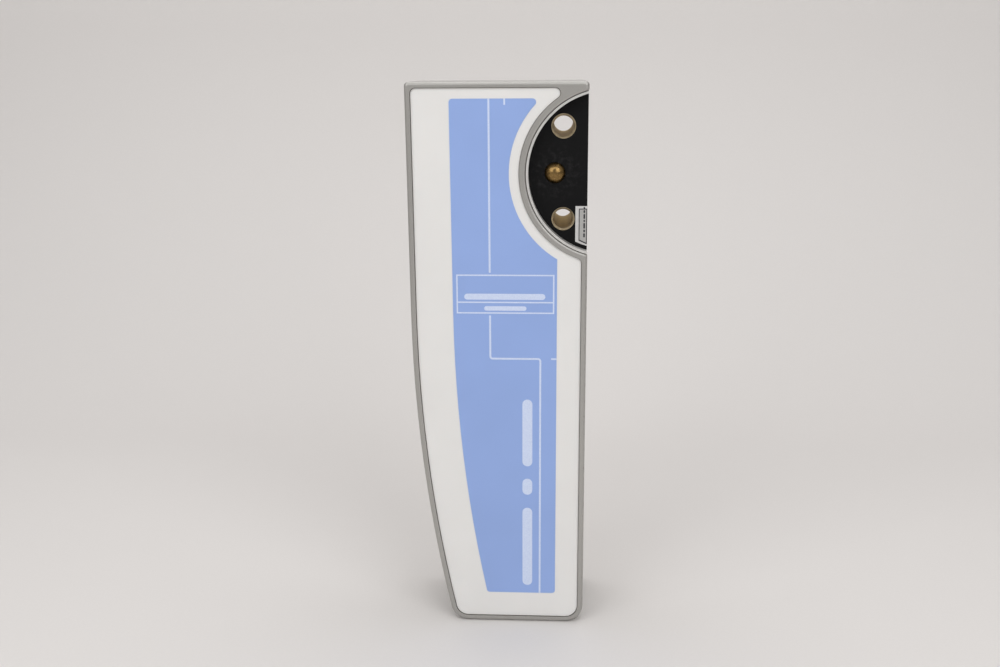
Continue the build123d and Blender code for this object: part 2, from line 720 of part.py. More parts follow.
def dock_block():
    """Black plastic block that carries the bushings, the ball detent and the connector."""
    screw_hole = 2 * (DOCK_RIM + RING_WALL + BAY_SCREW_BITE + PART_GAP)
    with BuildPart() as block:
        with BuildSketch(face_at(BLOCK_BACK)):
            add(bay_face(BLOCK_RADIUS))
        extrude(amount=BLOCK_BACK - BLOCK_FRONT)
        for x, z, radius, _ in BUSHINGS.values():
            with BuildSketch(face_at(BLOCK_BACK)):
                with Locations((x, z)):
                    Circle(radius + SEAL_GAP)
            extrude(amount=BLOCK_BACK - BLOCK_FRONT, mode=Mode.SUBTRACT)
        with BuildSketch(face_at(BLOCK_BACK)):
            with Locations(BALL):
                Circle(BALL_BORE)
        extrude(amount=BLOCK_BACK - BLOCK_FRONT - BALL_LIP, mode=Mode.SUBTRACT)
        with Locations((BALL[0], BALL_Y, BALL[1])):
            Sphere(BALL_BORE, mode=Mode.SUBTRACT)
        with Locations((BLOCK_RIGHT, SOCKET_FRONT, SOCKET_Z)):
            Box(SOCKET_REACH, SOCKET_DEPTH, SOCKET_HEIGHT,
                align=(Align.MAX, Align.MIN, Align.CENTER), mode=Mode.SUBTRACT)
        with Locations((SOCKET_FLOOR, CHANNEL_Y, CHANNEL_Z)):
            Box(2 * DOCK_RADIUS, CHANNEL, CHANNEL,
                align=(Align.MAX, Align.CENTER, Align.CENTER), mode=Mode.SUBTRACT)
        for plane in bay_screw_planes():
            with Locations(plane):
                Cylinder(M3_RADIUS + SCREW_GAP, screw_hole, mode=Mode.SUBTRACT)
    return block.part


def bushing(x, z, outer, bore):
    """Brass guide bushing right through the block, with a lead-in at both ends."""
    with BuildPart() as bush:
        with BuildSketch(face_at(BLOCK_BACK)):
            with Locations((x, z)):
                Circle(outer)
                Circle(bore, mode=Mode.SUBTRACT)
        extrude(amount=BLOCK_BACK - BLOCK_FRONT + BUSH_PROUD)
        mouths = bush.edges().filter_by(GeomType.CIRCLE).filter_by(lambda e: abs(e.radius - bore) < 0.01)
        chamfer(mouths, BUSH_CHAMFER)
    return bush.part


def detent_ball():
    """Brass ball of the snap lock, held by the lip of its bore."""
    with BuildPart() as ball:
        with Locations((BALL[0], BALL_Y, BALL[1])):
            Sphere(BALL_RADIUS)
    return ball.part


def detent_follower():
    """Plastic cup behind the ball, with a pin that guides the spring."""
    with BuildPart() as follower:
        with BuildSketch(face_at(FOLLOWER_BACK)):
            with Locations(BALL):
                Circle(BALL_RADIUS)
        extrude(amount=FOLLOWER_BACK - FOLLOWER_FRONT)
        with BuildSketch(face_at(FOLLOWER_BACK + FOLLOWER_PIN_LENGTH)):
            with Locations(BALL):
                Circle(FOLLOWER_PIN_RADIUS)
        extrude(amount=FOLLOWER_PIN_LENGTH)
        with Locations((BALL[0], BALL_Y, BALL[1])):
            Sphere(BALL_BORE, mode=Mode.SUBTRACT)
    return follower.part


def detent_spring():
    """Compression spring between follower and plug."""
    rise = SPRING_LENGTH - SPRING_WIRE - 2 * SEAL_GAP
    start = (BALL[0], FOLLOWER_BACK + SPRING_WIRE / 2 + SEAL_GAP, BALL[1])
    with BuildPart() as spring:
        with BuildLine() as wire:
            Helix(rise / SPRING_TURNS, rise, SPRING_RADIUS - SPRING_WIRE / 2,
                  center=start, direction=(0, 1, 0))
        with BuildSketch(Plane(origin=wire.line @ 0, z_dir=wire.line % 0)):
            Circle(SPRING_WIRE / 2)
        sweep(path=wire.line)
    return spring.part


def detent_plug():
    """Hexagon-socket set screw that closes the ball's bore and loads its spring."""
    with BuildPart() as plug:
        with BuildSketch(face_at(PLUG_BACK)):
            with Locations(BALL):
                Circle(BALL_RADIUS)
        extrude(amount=PLUG_LENGTH)
        with BuildSketch(face_at(PLUG_BACK)):
            with Locations(BALL):
                RegularPolygon(HEX_FLATS / 2, 6, major_radius=False)
        extrude(amount=HEX_DEPTH, mode=Mode.SUBTRACT)
    return plug.part


def rating_sticker():
    """Thin metal-foil sticker on the block, trimmed along the block's round edge."""
    with BuildPart() as sticker:
        with BuildSketch(face_at(BLOCK_FRONT)):
            with Locations((BLOCK_RIGHT - SEAL_GAP, DOCK[1] - STICKER_DROP)):
                Rectangle(STICKER_WIDTH, STICKER_HEIGHT, align=(Align.MAX, Align.MAX))
            with Locations(DOCK):
                Circle(BLOCK_RADIUS - STICKER_EDGE, mode=Mode.INTERSECT)
        extrude(amount=STICKER_THICKNESS)
    return sticker.part


# ---------------------------------------------------------------- docking connector


def socket_box(gap, reach, wall=0.0):
    """Size of a box that fits the connector socket with a gap all round, less a wall."""
    shrink = 2 * (gap + wall)
    return (reach, SOCKET_DEPTH - shrink, SOCKET_HEIGHT - shrink)


def connector_shell():
    """Metal shell of the docking connector, open to the right and to the wires."""
    middle = (SOCKET_FLOOR, SOCKET_FRONT + SOCKET_DEPTH / 2, SOCKET_Z)
    align = (Align.MIN, Align.CENTER, Align.CENTER)
    with BuildPart() as shell:
        with Locations(middle):
            Box(*socket_box(SEAL_GAP, SOCKET_REACH), align=align)
            Box(*socket_box(SEAL_GAP, SOCKET_REACH, SHELL_WALL), align=align, mode=Mode.SUBTRACT)
    return shell.part


def pin_spots():
    """Centres of the connector's pins, in two rows, as Y and Z."""
    middle = SOCKET_FRONT + SOCKET_DEPTH / 2
    rows = (middle - PIN_PITCH, middle + PIN_PITCH)
    columns = [SOCKET_Z + (i - (PIN_COLUMN - 1) / 2) * PIN_PITCH for i in range(PIN_COLUMN)]
    return [(y, z) for y in rows for z in columns]


def connector_insert():
    """Insulator that holds the pins at the bottom of the socket."""
    middle = (SOCKET_FLOOR, SOCKET_FRONT + SOCKET_DEPTH / 2, SOCKET_Z)
    size = socket_box(2 * SEAL_GAP, INSERT_REACH, SHELL_WALL)
    with BuildPart() as insert:
        with Locations(middle):
            Box(*size, align=(Align.MIN, Align.CENTER, Align.CENTER))
        for y, z in pin_spots():
            with Locations(Plane(origin=(SOCKET_FLOOR, y, z), z_dir=(1, 0, 0))):
                Cylinder(PIN_RADIUS + SEAL_GAP / 2, 4 * INSERT_REACH, mode=Mode.SUBTRACT)
    return insert.part


def connector_pins():
    """Gilt pins with rounded tips, in two rows."""
    length = INSERT_REACH + PIN_REACH - SEAL_GAP
    with BuildPart() as pins:
        for y, z in pin_spots():
            with Locations(Plane(origin=(SOCKET_FLOOR + SEAL_GAP, y, z), z_dir=(1, 0, 0))):
                Cylinder(PIN_RADIUS, length, align=(Align.CENTER, Align.CENTER, Align.MIN))
        tips = pins.faces().filter_by(Axis.X).group_by(Axis.X)[-1].edges()
        chamfer(tips, PIN_RADIUS / 2)
    return pins.part


def harness():
    """Flat bundle of wires from the connector through the bay wall to the readout board."""
    start = SOCKET_FLOOR
    with BuildPart() as wires:
        with Locations((start, CHANNEL_Y, CHANNEL_Z)):
            Box(start - HARNESS_END, HARNESS_THICK, HARNESS_WIDE,
                align=(Align.MAX, Align.CENTER, Align.CENTER))
    return wires.part


# ---------------------------------------------------------------- line detectors


def case_span(name):
    """Middle, bottom and length of a detector's case."""
    x, low = DETECTORS[name]
    return x, low - CASE_OVERRUN, LINE_LENGTH + 2 * CASE_OVERRUN


def detector_case(name):
    """Aluminium channel that holds one line detector, open to the front, with a slot for its flex."""
    x, low, length = case_span(name)
    room = 2 * CASE_WALL
    with BuildPart() as case:
        with Locations((x, CASE_FRONT, low)):
            Box(CASE_WIDTH, CASE_DEPTH, length, align=ALIGN_LOW)
        with Locations((x, CASE_FRONT, low + CASE_WALL)):
            Box(CASE_WIDTH - room, CASE_DEPTH - CASE_WALL, length - room,
                align=ALIGN_LOW, mode=Mode.SUBTRACT)
        with Locations((x, CASE_FLOOR, FLEX_HEIGHT[name])):
            Box(FLEX_WIDTH + FLEX_SLOT, CASE_WALL, FLEX_SLOT, align=ALIGN_MID, mode=Mode.SUBTRACT)
        for plane in case_screw_planes(name):
            with Locations(plane):
                Cylinder(M25_RADIUS + SCREW_GAP, 4 * CHASSIS_THICKNESS, mode=Mode.SUBTRACT)
    return case.part


def case_screw_planes(name):
    """Planes of a case's two screws, on the back of the chassis."""
    x, low, length = case_span(name)
    inset = CASE_WALL + CASE_SCREW_INSET
    return back_planes([(x, low + inset), (x, low + length - inset)], CHASSIS_BACK)


def detector_screws():
    """Four screws from the chassis into the two cases."""
    planes = case_screw_planes("upper") + case_screw_planes("lower")
    shank = CHASSIS_THICKNESS + CASE_WALL - PART_GAP
    return screws(planes, shank, M25_HEAD_RADIUS, M25_HEAD_LENGTH, M25_RADIUS)


def lead_mask(name):
    """Lead strip on the front of a case, with the slit that lets the fan of rays in."""
    x, low, length = case_span(name)
    with BuildPart() as mask:
        with Locations((x, CASE_FRONT - MASK_THICKNESS, low)):
            Box(CASE_WIDTH, MASK_THICKNESS, length, align=ALIGN_LOW)
        with Locations((x, CASE_FRONT - MASK_THICKNESS, low + CASE_OVERRUN + CASE_WALL)):
            Box(MASK_SLIT, MASK_THICKNESS, LINE_LENGTH - 2 * CASE_WALL, align=ALIGN_LOW, mode=Mode.SUBTRACT)
    return mask.part


def line_layer(name, width, back, thickness, trim=0.0):
    """One layer of a line detector, centred in its case."""
    x, low, length = case_span(name)
    inset = CASE_WALL + PART_GAP + trim
    with BuildPart() as layer:
        with Locations((x, back - thickness, low + inset)):
            Box(width, thickness, length - 2 * inset, align=ALIGN_LOW)
    return layer.part


def thermal_pads(name):
    """Two soft pads between the carrier and the case floor, clear of the flex and the screws."""
    x, low, length = case_span(name)
    inset = CASE_WALL + 2 * CASE_SCREW_INSET
    middle = FLEX_HEIGHT[name]
    with BuildPart() as pads:
        for start, end in ((low + inset, middle - FLEX_SLOT), (middle + FLEX_SLOT, low + length - inset)):
            with Locations((x, CARRIER_BACK, start)):
                Box(CARRIER_WIDTH, PAD_THICKNESS, end - start, align=ALIGN_LOW)
    return pads.part


def carrier(name):
    """Circuit carrier that the sensor chips are bonded to."""
    return line_layer(name, CARRIER_WIDTH, CARRIER_BACK, CARRIER_THICKNESS)


def sensor_chips(name):
    """Sensor chips butted end to end along the line."""
    x, low, length = case_span(name)
    inset = CASE_WALL + PART_GAP + CHIP_TRIM
    pitch = (length - 2 * inset) / CHIP_COUNT
    with BuildPart() as chips:
        for i in range(CHIP_COUNT):
            with Locations((x, PLATE_BACK, low + inset + i * pitch)):
                Box(CHIP_WIDTH, CHIP_THICKNESS, pitch - CHIP_JOINT, align=ALIGN_LOW)
    return chips.part


def fibre_plate(name):
    """Fibre-optic faceplate on the chips, which keeps the rays off them."""
    return line_layer(name, PLATE_WIDTH, PLATE_BACK, PLATE_THICKNESS, CHIP_TRIM)


def scintillator(name):
    """Scintillating screen on the faceplate, which turns the rays into light."""
    return line_layer(name, PLATE_WIDTH, SCREEN_BACK, SCREEN_THICKNESS, CHIP_TRIM)


def flex(name):
    """Flexible circuit from the carrier straight back to its board."""
    x, _ = DETECTORS[name]
    with BuildPart() as ribbon:
        with Locations((x, CARRIER_BACK, FLEX_HEIGHT[name])):
            Box(FLEX_WIDTH, BOARD_FRONT - FLEX_SOCKET - CARRIER_BACK, FLEX_THICKNESS, align=ALIGN_MID)
    return ribbon.part


# ---------------------------------------------------------------- chassis and boards


def chassis():
    """Aluminium plate clamped between the frame's bosses and the rear housing's."""
    with BuildPart() as plate:
        with BuildSketch(face_at(CHASSIS_BACK)):
            offset(POCKET, amount=-CHASSIS_GAP)
            with Locations(boss_spots()):
                Circle(M3_RADIUS + PASS_GAP, mode=Mode.SUBTRACT)
            for name, (x, _) in DETECTORS.items():
                with Locations((x, FLEX_HEIGHT[name])):
                    Rectangle(FLEX_WIDTH + FLEX_SLOT, FLEX_SLOT, mode=Mode.SUBTRACT)
        extrude(amount=CHASSIS_THICKNESS)
        for plane in case_screw_planes("upper") + case_screw_planes("lower"):
            with Locations(plane):
                Cylinder(M25_RADIUS + PASS_GAP, 4 * CHASSIS_THICKNESS, mode=Mode.SUBTRACT)
    return plate.part


def board_corners(name):
    """Centres of a board's four standoffs."""
    left, right, low, high = BOARDS[name]
    inset = STANDOFF_INSET
    return [(x, z) for x in (left + inset, right - inset) for z in (low + inset, high - inset)]


def board(name):
    """Circuit board with rounded corners and a hole over each standoff."""
    left, right, low, high = BOARDS[name]
    with BuildPart() as plate:
        with BuildSketch(face_at(BOARD_BACK)):
            with Locations(((left + right) / 2, (low + high) / 2)):
                RectangleRounded(right - left, high - low, STANDOFF_INSET / 2)
            with Locations(board_corners(name)):
                Circle(M25_RADIUS + PASS_GAP, mode=Mode.SUBTRACT)
        extrude(amount=BOARD_THICKNESS)
    return plate.part


def standoffs():
    """Hexagonal brass standoffs between chassis and boards."""
    with BuildPart() as posts:
        with BuildSketch(face_at(BOARD_FRONT)):
            with Locations(board_corners("readout") + board_corners("processor")):
                RegularPolygon(STANDOFF_RADIUS, 6)
                Circle(M25_RADIUS + SCREW_GAP, mode=Mode.SUBTRACT)
        extrude(amount=STANDOFF_LENGTH)
    return posts.part


def board_screws():
    """Eight screws through the boards into their standoffs."""
    spots = board_corners("readout") + board_corners("processor")
    shank = BOARD_THICKNESS + STANDOFF_LENGTH - PART_GAP
    return screws(back_planes(spots, BOARD_BACK), shank, M25_HEAD_RADIUS, M25_HEAD_LENGTH, M25_RADIUS)


def on_board(name, across, up, rise=0.0):
    """Point on the back of a board, as shares of its width and height, lifted by rise."""
    left, right, low, high = BOARDS[name]
    return (left + across * (right - left), BOARD_BACK, low + up * (high - low) + rise)


def chips_on(name, spots, side, height):
    """Square packages on the back of a board, each with a chamfered pin-one corner."""
    with BuildPart() as group:
        for across, up in spots:
            with Locations(on_board(name, across, up)):
                Box(side, height, side, align=ALIGN_MID)
        chamfer(group.edges().filter_by(Axis.Y), PACKAGE_CORNER)
    return group.part


def capacitors():
    """Round electrolytic capacitors beside the power module."""
    with BuildPart() as group:
        for across in CAPACITOR_ROW:
            spot = on_board("processor", across, 0, SUPPLY_RISE)
            with Locations(Plane(origin=spot, x_dir=(1, 0, 0), z_dir=(0, 1, 0))):
                Cylinder(CAPACITOR_RADIUS, CAPACITOR_HEIGHT, align=(Align.CENTER, Align.CENTER, Align.MIN))
        fillet(group.faces().group_by(Axis.Y)[-1].edges(), CAPACITOR_ROUND)
    return group.part


def power_module():
    """Potted supply module on the processor board."""
    with BuildPart() as module:
        with Locations(on_board("processor", POWER_ACROSS, 0, SUPPLY_RISE)):
            Box(*POWER_SIZE, align=ALIGN_MID)
        fillet(module.faces().sort_by(Axis.Y)[-1].edges(), POWER_ROUND)
    return module.part


def shield_can():
    """Pressed screening can over the readout circuits, open to the board."""
    width, height, length = CAN_SIZE
    wall = 2 * CAN_WALL
    with BuildPart() as can:
        with Locations(on_board("readout", CAN_ACROSS, CAN_UP)):
            Box(width, height, length, align=ALIGN_MID)
            Box(width - wall, height - CAN_WALL, length - wall, align=ALIGN_MID, mode=Mode.SUBTRACT)
        fillet(can.faces().sort_by(Axis.Y)[-1].edges(), CAN_WALL)
    return can.part


def board_sockets():
    """Sockets for the two flexes, the harness and the link between the boards."""
    with BuildPart() as sockets:
        for name, (x, _) in DETECTORS.items():
            with Locations((x, BOARD_FRONT - FLEX_SOCKET, FLEX_HEIGHT[name])):
                Box(FLEX_WIDTH + FLEX_SLOT, FLEX_SOCKET, 2 * FLEX_SLOT, align=ALIGN_MID)
        with Locations((HARNESS_END, BOARD_BACK, CHANNEL_Z)):
            Box(HARNESS_PLUG, CHANNEL, HARNESS_WIDE + FLEX_SLOT,
                align=(Align.MAX, Align.MIN, Align.CENTER))
        for z in LINK_ENDS:
            with Locations((LINK_X, BOARD_BACK, z)):
                Box(LINK_WIDTH + FLEX_SLOT, LINK_HEIGHT, 2 * FLEX_SLOT, align=ALIGN_MID)
    return sockets.part


def board_link():
    """Ribbon that joins the two boards behind the chassis."""
    low = LINK_ENDS[0] + FLEX_SLOT
    high = LINK_ENDS[1] - FLEX_SLOT
    with BuildPart() as ribbon:
        with Locations((LINK_X, BOARD_BACK + LINK_HEIGHT / 2, low)):
            Box(LINK_WIDTH, 2 * FLEX_THICKNESS, high - low, align=ALIGN_LOW)
    return ribbon.part


def earth_strap():
    """Bent copper strap that bonds the chassis to the rear housing."""
    depth = WALL_FRONT - CHASSIS_BACK
    with BuildPart() as strap:
        with Locations(STRAP):
            Box(STRAP_REACH, depth, STRAP_WIDTH, align=(Align.MIN, Align.MIN, Align.CENTER))
        with Locations((STRAP[0] + STRAP_THICKNESS, STRAP[1] + STRAP_THICKNESS, STRAP[2])):
            Box(STRAP_REACH, depth - 2 * STRAP_THICKNESS, STRAP_WIDTH,
                align=(Align.MIN, Align.MIN, Align.CENTER), mode=Mode.SUBTRACT)
    return strap.part


# ---------------------------------------------------------------- the whole head

pieces = {
    "front_frame": front_frame(),
    "rear_housing": rear_housing(),
    "seam_seal": seam_seal(),
    "service_cover": service_cover(),
    "cover_screws": cover_screws(),
    "housing_screws": housing_screws(),
    "bay_screws": bay_screws(),
    "window_panel": window_panel(),
    "window_gasket": window_gasket(),
    "printed_film": printed_film(),
    "dock_ring": dock_ring(),
    "dock_block": dock_block(),
    "detent_ball": detent_ball(),
    "detent_follower": detent_follower(),
    "detent_spring": detent_spring(),
    "detent_plug": detent_plug(),
    "rating_sticker": rating_sticker(),
    "connector_shell": connector_shell(),
    "connector_insert": connector_insert(),
    "connector_pins": connector_pins(),
    "connector_harness": harness(),
    "chassis_plate": chassis(),
    "detector_screws": detector_screws(),
    "readout_board": board("readout"),
    "processor_board": board("processor"),
    "board_standoffs": standoffs(),
    "board_screws": board_screws(),
    "board_sockets": board_sockets(),
    "board_link": board_link(),
    "readout_chips": chips_on("readout", READOUT_CHIPS, *READOUT_CHIP),
    "processor_chips": chips_on("processor", PROCESSOR_CHIPS, *PROCESSOR_CHIP),
    "shield_can": shield_can(),
    "capacitors": capacitors(),
    "power_module": power_module(),
    "earth_strap": earth_strap(),
}
for name, (x, z, outer, bore) in BUSHINGS.items():
    pieces[f"{name}_bushing"] = bushing(x, z, outer, bore)
for name in DETECTORS:
    pieces[f"{name}_detector_case"] = detector_case(name)
    pieces[f"{name}_lead_mask"] = lead_mask(name)
    pieces[f"{name}_thermal_pads"] = thermal_pads(name)
    pieces[f"{name}_carrier"] = carrier(name)
    pieces[f"{name}_sensor_chips"] = sensor_chips(name)
    pieces[f"{name}_fibre_plate"] = fibre_plate(name)
    pieces[f"{name}_scintillator"] = scintillator(name)
    pieces[f"{name}_flex"] = flex(name)

os.makedirs("parts", exist_ok=True)
for label, part in pieces.items():
    part.label = label
    export_step(part, f"parts/{label}.step")
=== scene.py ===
import json
from math import cos, pi, radians, sin

import bpy
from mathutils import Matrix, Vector


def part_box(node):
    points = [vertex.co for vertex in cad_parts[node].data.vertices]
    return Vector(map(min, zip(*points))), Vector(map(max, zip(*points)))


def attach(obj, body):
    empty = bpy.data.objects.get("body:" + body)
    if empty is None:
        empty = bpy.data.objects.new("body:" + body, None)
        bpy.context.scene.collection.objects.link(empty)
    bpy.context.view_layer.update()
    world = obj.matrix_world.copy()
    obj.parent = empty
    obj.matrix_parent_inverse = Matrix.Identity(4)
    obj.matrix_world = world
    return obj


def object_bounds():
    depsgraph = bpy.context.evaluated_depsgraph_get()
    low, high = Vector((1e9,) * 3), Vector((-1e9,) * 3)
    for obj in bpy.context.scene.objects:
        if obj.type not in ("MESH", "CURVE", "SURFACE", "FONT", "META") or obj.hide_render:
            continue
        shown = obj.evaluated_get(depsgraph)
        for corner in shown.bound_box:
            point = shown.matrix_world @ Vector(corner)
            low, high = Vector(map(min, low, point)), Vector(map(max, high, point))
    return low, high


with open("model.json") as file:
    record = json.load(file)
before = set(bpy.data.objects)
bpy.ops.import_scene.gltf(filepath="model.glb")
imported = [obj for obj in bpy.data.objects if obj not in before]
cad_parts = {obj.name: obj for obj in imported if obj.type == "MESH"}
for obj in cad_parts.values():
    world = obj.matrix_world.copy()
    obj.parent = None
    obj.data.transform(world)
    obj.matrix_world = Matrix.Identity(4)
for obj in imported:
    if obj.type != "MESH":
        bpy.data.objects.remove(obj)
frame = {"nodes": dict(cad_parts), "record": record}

# Looks of the detachable x-ray sensor head: materials for every CAD piece, the print on the
# window and on the sticker, and a small studio. Metres, in the CAD's frame: X to the right seen
# from the front, Y to the back, Z up, with the window facing -Y.

MM = 0.001

CAD_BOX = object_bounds()
LOW, HIGH = CAD_BOX
FILM_LOW, FILM_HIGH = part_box("printed_film")
STICKER_LOW, STICKER_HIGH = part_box("rating_sticker")
BALL_LOW, BALL_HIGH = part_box("detent_ball")
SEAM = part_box("rear_housing")[0].y
UPPER_LINE = sum(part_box("upper_lead_mask"), Vector()).x / 2
LOWER_LINE = sum(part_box("lower_lead_mask"), Vector()).x / 2

# ---------------------------------------------------------------- sizes of the print

INK_PROUD = 0.02 * MM           # ink above the film
INK_SUNK = 0.02 * MM            # and into it
LINE_WIDTH = 1.0 * MM
JOG_LIFT = 0.3 * MM             # jog above the middle of the film
JOG_ROUND = 1.3 * MM
BOX_LEFT = 53.0 * MM            # box's two sides, from the film's right edge
BOX_RIGHT = 1.35 * MM
BOX_LOW = 161.15 * MM           # its bottom, top and divider, from the film's bottom
BOX_HIGH = 182.15 * MM
BOX_DIVIDER = 167.25 * MM
BOX_LINE = 0.75 * MM
LINE_GAP = 1.0 * MM             # the line stops this far from the box
TOP_TICK = 27.3 * MM            # from the film's right edge
TICK_LENGTH = 3.1 * MM
SIDE_TICK = 2.9 * MM
TICK_WIDTH = 0.9 * MM
CELL_BARS = [                   # ends from the film's right edge, bottom edge, thickness
    (48.9 * MM, 6.1 * MM, 168.7 * MM, 3.2 * MM),
    (38.4 * MM, 16.0 * MM, 162.8 * MM, 2.4 * MM),
]
SIDE_BAR_GAP = 4.2 * MM         # upright bars to the lower line
SIDE_BAR_WIDTH = 5.4 * MM
SIDE_BARS = [(4.7 * MM, 51.3 * MM), (59.0 * MM, 68.4 * MM), (75.6 * MM, 113.8 * MM)]    # low, high

STICKER_BORDER = 1.75 * MM      # border at the left
STICKER_TOP = 1.3 * MM          # border at the top
STICKER_END = 2.9 * MM          # outline's foot above the sticker's lowest corner
OUTLINE_WIDTH = 0.45 * MM
FOOT_LEFT_DROP = 0.3 * MM       # how far the outline's slanting foot falls at its left end
FOOT_FIELD_DROP = 1.2 * MM      # at its right end, on the inside
FOOT_RIGHT_DROP = 1.9 * MM      # at its right end, on the outside
FOOT_END_DROP = 2.0 * MM        # and at the right edge
FIRST_MARK = 1.6 * MM           # lowest bar above the foot
MARK_LENGTHS = [2.2 * MM, 1.5 * MM, 3.0 * MM, 1.2 * MM, 2.6 * MM, 1.6 * MM, 1.1 * MM]
MARK_WIDTH = 0.9 * MM
MARK_GAP = 0.45 * MM
MARKS_ASIDE = 0.7 * MM          # bars to the right of the field's middle
MARK_STEPS = 6

# ---------------------------------------------------------------- sizes of the wear

SEAM_LINE = 0.08 * MM           # half width of the dark parting line
SEAM_FADE = 0.2 * MM            # where it has faded out
CHIPS_SIDE = (1.1 * MM, 0.1 * MM)       # in from the right side: chips begin, chips at their full
CHIPS_FRONT = (2.2 * MM, 0.6 * MM)      # back from the front: the same
GRAIN_DEPTH = 0.004 * MM
RUB_FORWARD = 3 * MM            # middle of the rubbed patch in front of the ball's centre
RUB_FULL = 7 * MM               # radius where the rub starts to fade
RUB_END = 17 * MM               # and where it ends


# ---------------------------------------------------------------- mesh helpers


def linked(name, data):
    """A new object in the scene that shows a mesh, light or camera."""
    piece = bpy.data.objects.new(name, data)
    bpy.context.scene.collection.objects.link(piece)
    return piece


def print_piece(name, outlines, front, back, material):
    """Flat print that rides on the housing and takes its finish from a slot."""
    mesh = bpy.data.meshes.new(name)
    verts, faces = slabs(outlines, front, back)
    mesh.from_pydata(verts, [], faces)
    mesh.validate()
    mesh.update()
    piece = linked(name, mesh)
    piece.data.materials.append(material)
    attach(piece, "housing")


def slabs(outlines, front, back):
    """Vertices and faces of flat pieces; each outline is a list of (x, z) points, anticlockwise."""
    verts, faces = [], []
    for outline in outlines:
        start, count = len(verts), len(outline)
        verts += [(x, front, z) for x, z in outline] + [(x, back, z) for x, z in outline]
        faces.append([start + i for i in range(count)])
        faces.append([start + count + i for i in reversed(range(count))])
        for i in range(count):
            j = (i + 1) % count
            faces.append([start + i, start + count + i, start + count + j, start + j])
    return verts, faces


def rectangle(left, right, low, high):
    """Outline of an upright rectangle."""
    return [(left, low), (right, low), (right, high), (left, high)]


def pill(left, right, low, high, steps=10):
    """Outline of a bar with round ends."""
    if right - left > high - low:
        r, ends = (high - low) / 2, ((right, 0.0), (left, pi))
        middle = (low + high) / 2
        return [
            (x - r * cos(turn) + r * cos(turn + a), middle + r * sin(turn + a))
            for x, turn in ends
            for a in [-pi / 2 + pi * i / steps for i in range(steps + 1)]
        ]
    r, ends = (right - left) / 2, ((high, pi / 2), (low, 3 * pi / 2))
    middle = (left + right) / 2
    return [
        (middle + r * cos(turn + a), z - r * sin(turn) + r * sin(turn + a))
        for z, turn in ends
        for a in [-pi / 2 + pi * i / steps for i in range(steps + 1)]
    ]


def rounded_path(points, radius, steps=8):
    """A path of upright and level runs, with a quarter circle at each corner."""
    path = [Vector(points[0])]
    for before, corner, after in zip(points, points[1:], points[2:]):
        into = (Vector(corner) - Vector(before)).normalized()
        out = (Vector(after) - Vector(corner)).normalized()
        centre = Vector(corner) + (out - into) * radius
        for i in range(steps + 1):
            a = pi / 2 * i / steps
            path.append(centre - out * radius * cos(a) + into * radius * sin(a))
    path.append(Vector(points[-1]))
    return path


def stroke(path, width):
    """Outline of a line of even width along a path of (x, z) points."""
    left, right = [], []
    for i, point in enumerate(path):
        ahead = (path[min(i + 1, len(path) - 1)] - path[max(i - 1, 0)]).normalized()
        side = Vector((-ahead.y, ahead.x)) * width / 2
        left.append(tuple(point + side))
        right.append(tuple(point - side))
    return right + left[::-1]


# ---------------------------------------------------------------- material helpers


